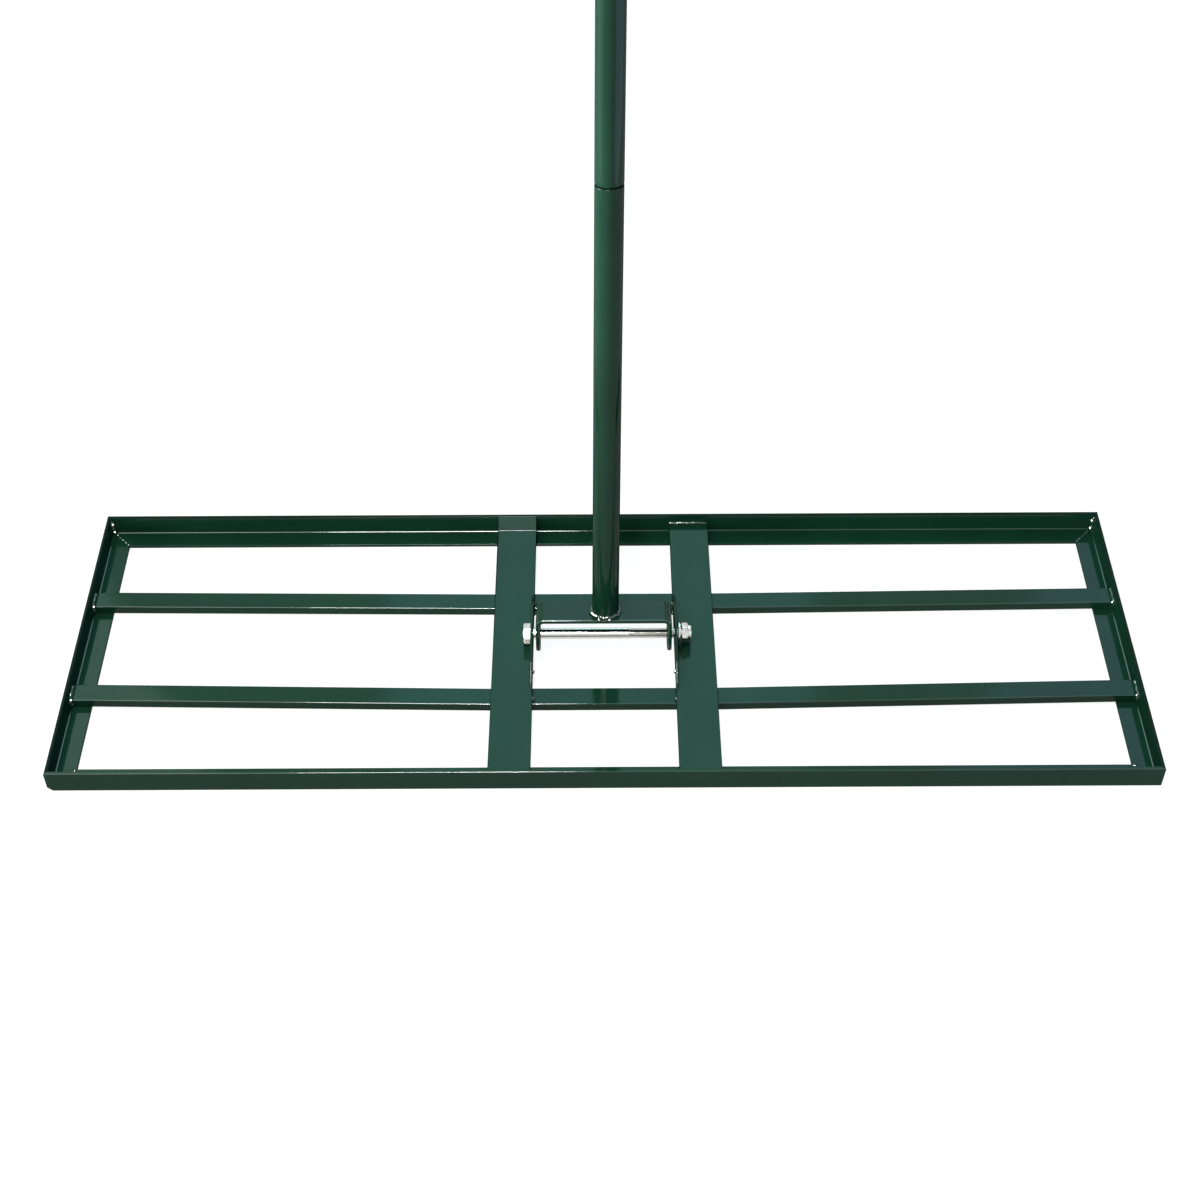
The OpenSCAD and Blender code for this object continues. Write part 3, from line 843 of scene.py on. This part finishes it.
# The weld round the foot of the pole: one hand-laid ring of bead, painted over, with drops at the front.
# Each drop has its turn round the pole in degrees, and how far out, how high and how wide it is.
foot_weld = bmesh.new()
ring_radius = pole_radius + 0.4 * mm
ring_level = tube_ends[0] + 0.5 * mm
ring_steps = 64
ring_line = []
for step in range(ring_steps + 1):
    angle = 2 * pi * step / ring_steps
    ring_line.append(Vector((ring_radius * cos(angle), ring_radius * sin(angle), ring_level)))
weld_run(foot_weld, ring_line, 1.9 * mm, upward, ripple=4.6 * mm)
drip_up = lean_turn.to_3x3().inverted() @ drip_way(pole_foot)
ring_drips = [
    (-154, 0.6, 2.0, 0.6), (-145, 0.6, 2.1, 0.8), (-136, 0.6, 2.1, 0.8), (-127, 0.6, 2.1, 0.6),
    (-97, 0.6, 2.1, 0.65), (-112, 2.9, 0.4, 0.6), (-77, 2.9, 0.4, 0.65),
]
for turn, out, reach, size in ring_drips:
    drip_at = Vector((cos(radians(turn)), sin(radians(turn)), 0)) * (ring_radius + out * mm)
    drip_at.z = ring_level
    drip(foot_weld, drip_at, reach * mm, size * mm, drip_up)
bmesh.ops.transform(foot_weld, matrix=on_pole, verts=foot_weld.verts)
finish_piece(foot_weld, "pole_foot_weld", [pooled_enamel], "handle")

# Turned steel: the studs and sockets inside the pole's joints, bare and fresh from the lathe, with the
# tool's fine rings. They are shut inside the tubes, so the solids keep their own meshes.
steel, tree, shader, spot = new_finish("turned_bare_steel")
tool_rings = add_node(tree, "TexWave", {"Scale": 1 / (0.8 * mm)}, {"Vector": spot}, bands_direction="Z")
ring_bump = add_node(
    tree, "Bump", {"Strength": 0.3, "Distance": 0.03 * mm}, {"Height": tool_rings.outputs["Fac"]}
)
tree.links.new(ring_bump.outputs[0], shader.inputs["Normal"])
tone = add_node(tree, "TexNoise", {"Scale": 1 / (4 * mm), "Detail": 2.0}, {"Vector": spot})
steel_colour = add_node(
    tree, "Mix", {6: linear("#8d8f91"), 7: linear("#b3b4b4")}, {0: tone.outputs["Fac"]}, data_type="RGBA"
)
tree.links.new(steel_colour.outputs[2], shader.inputs["Base Color"])
shader.inputs["Metallic"].default_value = 1.0
shader.inputs["Roughness"].default_value = 0.32
for node in ("lower_stud", "middle_stud", "upper_stud", "lower_socket", "middle_socket", "upper_socket"):
    bpy.data.objects[node].material_slots[0].material = steel


# The hand grip is a sleeve of closed-cell foam pushed over the top of the pole, with rounded ends.
# It is spun round the pole.
grip_wall = 4.5 * mm
grip_round = 2 * mm
grip_low, grip_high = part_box("hand_grip")
grip_middle = ((grip_low + grip_high) / 2 - pole_start).length
grip_half = tube_ends[-1] - grip_middle

# Closed-cell foam rubber: matt near-black, with a skin of fine pores and a faint grey bloom from handling.
foam, tree, shader, spot = new_finish("closed_cell_foam")
pores = add_node(tree, "TexVoronoi", {"Scale": 1 / (0.9 * mm)}, {"Vector": spot})
bloom = add_node(tree, "TexNoise", {"Scale": 1 / (18 * mm), "Detail": 4.0}, {"Vector": spot})
foam_colour = add_node(
    tree, "Mix", {6: linear("#161617"), 7: linear("#242425")}, {0: bloom.outputs["Fac"]}, data_type="RGBA"
)
tree.links.new(foam_colour.outputs[2], shader.inputs["Base Color"])
pore_bump = add_node(
    tree, "Bump", {"Strength": 0.7, "Distance": 0.25 * mm}, {"Height": pores.outputs["Distance"]}
)
tree.links.new(pore_bump.outputs[0], shader.inputs["Normal"])
shader.inputs["Roughness"].default_value = 0.85
grip = turned(
    [
        (pole_radius, grip_middle - grip_half, 0),
        (pole_radius + grip_wall, grip_middle - grip_half, grip_round),
        (pole_radius + grip_wall, grip_middle + grip_half, grip_round),
        (pole_radius, grip_middle + grip_half, 0),
    ]
)
finish_piece(grip, "hand_grip_sleeve", [foam], "handle", ["hand_grip"])


# The end cap is a moulded plastic plug that closes the top of the pole, with a crowned rim that the
# sleeve stops against. It is spun round the pole.
cap_plug = 14 * mm
cap_wall = 2 * mm
cap_rim = 3 * mm
cap_rise = 2 * mm
cap_crown = 2.4 * mm
cap_radius = pole_radius + grip_wall - grip_round
plug_radius = pole_bore - 0.05 * mm

# Moulded polyethylene: black, with the soft sheen and fine spark grain of the mould.
cap_plastic, tree, shader, spot = new_finish("moulded_black_plastic")
spark = add_node(tree, "TexNoise", {"Scale": 1 / (0.6 * mm), "Detail": 3.0}, {"Vector": spot})
spark_bump = add_node(
    tree, "Bump", {"Strength": 0.4, "Distance": 0.05 * mm}, {"Height": spark.outputs["Fac"]}
)
tree.links.new(spark_bump.outputs[0], shader.inputs["Normal"])
cap_colour = add_node(
    tree, "Mix", {6: linear("#121213"), 7: linear("#1b1b1c")}, {0: spark.outputs["Fac"]}, data_type="RGBA"
)
tree.links.new(cap_colour.outputs[2], shader.inputs["Base Color"])
shader.inputs["Roughness"].default_value = 0.5
pole_top = tube_ends[-1]
cap = turned(
    [
        (plug_radius - cap_wall, pole_top - cap_plug, 0),
        (plug_radius, pole_top - cap_plug, 0.6 * mm),
        (plug_radius, pole_top, 0),
        (cap_radius, pole_top, 0.5 * mm),
        (cap_radius, pole_top + cap_rim, 0.8 * mm),
        (0.72 * cap_radius, pole_top + cap_rim + 0.45 * cap_rise, cap_crown),
        (0.36 * cap_radius, pole_top + cap_rim + 0.88 * cap_rise, cap_crown),
        (0, pole_top + cap_rim + cap_rise, 0),
        (0, pole_top, 0),
        (plug_radius - cap_wall, pole_top, 0),
    ]
)
finish_piece(cap, "end_cap_moulding", [cap_plastic], "handle", ["end_cap"])


# The studio: a plain white floor and room, soft boxes over and round the head, and a camera where the
# photograph was taken from, a metre above the ground and looking down into the head.
scene = bpy.context.scene
scene.view_settings.view_transform = "Standard"


def seen_plainly(tree):
    """Gives 1 where the eye, a mirror or glass looks straight at a surface, and 0 for light on its way."""
    ray = add_node(tree, "LightPath").outputs
    mirrored = add_node(
        tree, "Math", None, {0: ray["Is Camera Ray"], 1: ray["Is Glossy Ray"]}, operation="MAXIMUM"
    )
    return add_node(
        tree, "Math", None, {0: mirrored.outputs[0], 1: ray["Is Transmission Ray"]}, operation="MAXIMUM"
    ).outputs[0]


floor_half = 8
floor_drop = 0.3 * mm
floor_glow = 0.9
floor = bmesh.new()
bmesh.ops.create_grid(floor, x_segments=1, y_segments=1, size=floor_half)
bmesh.ops.translate(floor, verts=floor.verts, vec=(0, 0, -floor_drop))
floor_mesh = bpy.data.meshes.new("studio_floor")
floor.to_mesh(floor_mesh)
floor.free()
floor_paint, tree, shader, spot = new_finish("white_floor_paint")
shader.inputs["Base Color"].default_value = linear("#767675")
shader.inputs["Roughness"].default_value = 0.9
shader.inputs["Specular IOR Level"].default_value = 0.0
seen_glow = add_node(tree, "Math", {1: floor_glow}, {0: seen_plainly(tree)}, operation="MULTIPLY")
shader.inputs["Emission Color"].default_value = linear("#ffffff")
tree.links.new(seen_glow.outputs[0], shader.inputs["Emission Strength"])
floor_mesh.materials.append(floor_paint)
studio_floor = bpy.data.objects.new("studio_floor", floor_mesh)
scene.collection.objects.link(studio_floor)

scene.world = bpy.data.worlds.new("studio_room")
scene.world.use_nodes = True
tree = scene.world.node_tree
room = tree.nodes["Background"]
room.inputs["Color"].default_value = linear("#fbfcfd")
room_glow = add_node(tree, "MapRange", {"To Min": 0.05, "To Max": 1.0}, {"Value": seen_plainly(tree)})
tree.links.new(room_glow.outputs[0], room.inputs["Strength"])


def soft_box(name, place, aim, wide, tall, glow, tint, spread=180, mirrored=True, lighting=True):
    """A rectangular light that faces a point. Its glow, the brightness of its face, sets its power."""
    lamp = bpy.data.lights.new(name, "AREA")
    lamp.shape = "RECTANGLE"
    lamp.size = wide
    lamp.size_y = tall
    lamp.energy = 4 * glow * wide * tall
    lamp.color = linear(tint)[:3]
    lamp.spread = radians(spread)
    box = bpy.data.objects.new(name, lamp)
    box.location = place
    box.visible_glossy = mirrored
    box.visible_diffuse = lighting
    box.rotation_euler = (Vector(aim) - Vector(place)).to_track_quat("-Z", "Y").to_euler()
    scene.collection.objects.link(box)


# The enamel only mirrors the edge box, which draws the light lines along the edges. The front fill only
# lights, and isn't mirrored.
soft_box("back_box", (0, 1.62, 1.68), (0, 0.1, 0), 2.3, 1.6, 0.6, "#b4fff9")
soft_box("back_middle_box", (0, 1.57, 1.63), (0, 0.1, 0), 0.75, 1.6, 1.5, "#9cfffa")
soft_box("back_left_box", (-1.2, 1.52, 1.58), (0, 0.1, 0), 0.7, 1.6, 2.1, "#d8fff4")
soft_box("back_right_box", (1.0, 1.54, 1.6), (0, 0.1, 0), 0.5, 1.6, 1.6, "#94c0f4")
soft_box("back_low_box", (0, 1.9, 0.8), (0, 0.1, 0), 0.8, 0.45, 1.35, "#a4d8f4")
soft_box("top_box", (-0.6, -0.35, 1.3), (0, 0.1, 0), 0.6, 0.6, 4.5, "#ffffff")
soft_box("edge_box", (-0.23, -0.35, 1.35), (-0.23, 0.1, 0), 0.38, 0.6, 48, "#ffffff", lighting=False)
soft_box("key_box", (-0.18, -0.6, 2.1), (0, 0.1, 0), 0.12, 0.1, 440, "#fffdf8")
soft_box("front_box", (-0.75, -1.5, 1.85), (0, 0.2, 0), 1.6, 0.8, 2.9, "#d0fff8")
soft_box(
    "front_fill", (-1.21, -2.02, 0.34), (0, 0, 0), 2.7, 0.4, 0.75, "#e2ffea", spread=40, mirrored=False
)
soft_box("left_box", (-0.95, 0, 0.2), (0, 0, 0.2), 0.85, 0.34, 1.2, "#fffefa")
soft_box("right_box", (0.95, -0.35, 0.2), (0, -0.35, 0.2), 1.4, 0.34, 1.5, "#bce1ff")
soft_box("left_strip", (-1.48, -0.06, 0.38), (0, 0.2, 0.38), 0.3, 0.3, 4.3, "#fffefa", spread=22)

# The camera was fitted to the edges of the head in the photograph. Its angles are in degrees.
photo_pixels = 1200
focal_pixels = 1927
camera_pan = -0.156
camera_dip = 45.976
camera_roll = -0.151
camera_data = bpy.data.cameras.new("photo_camera")
camera_data.sensor_width = 36
camera_data.lens = camera_data.sensor_width * focal_pixels / photo_pixels
camera = bpy.data.objects.new("photo_camera", camera_data)
camera.location = (-5.28 * mm, head_middle - 951.2 * mm, 1038.3 * mm)
aim_turn = Matrix.Rotation(radians(camera_pan), 3, "Z") @ Matrix.Rotation(radians(90 - camera_dip), 3, "X")
camera.rotation_euler = (aim_turn @ Matrix.Rotation(radians(camera_roll), 3, "Z")).to_euler()
scene.collection.objects.link(camera)
scene.camera = camera
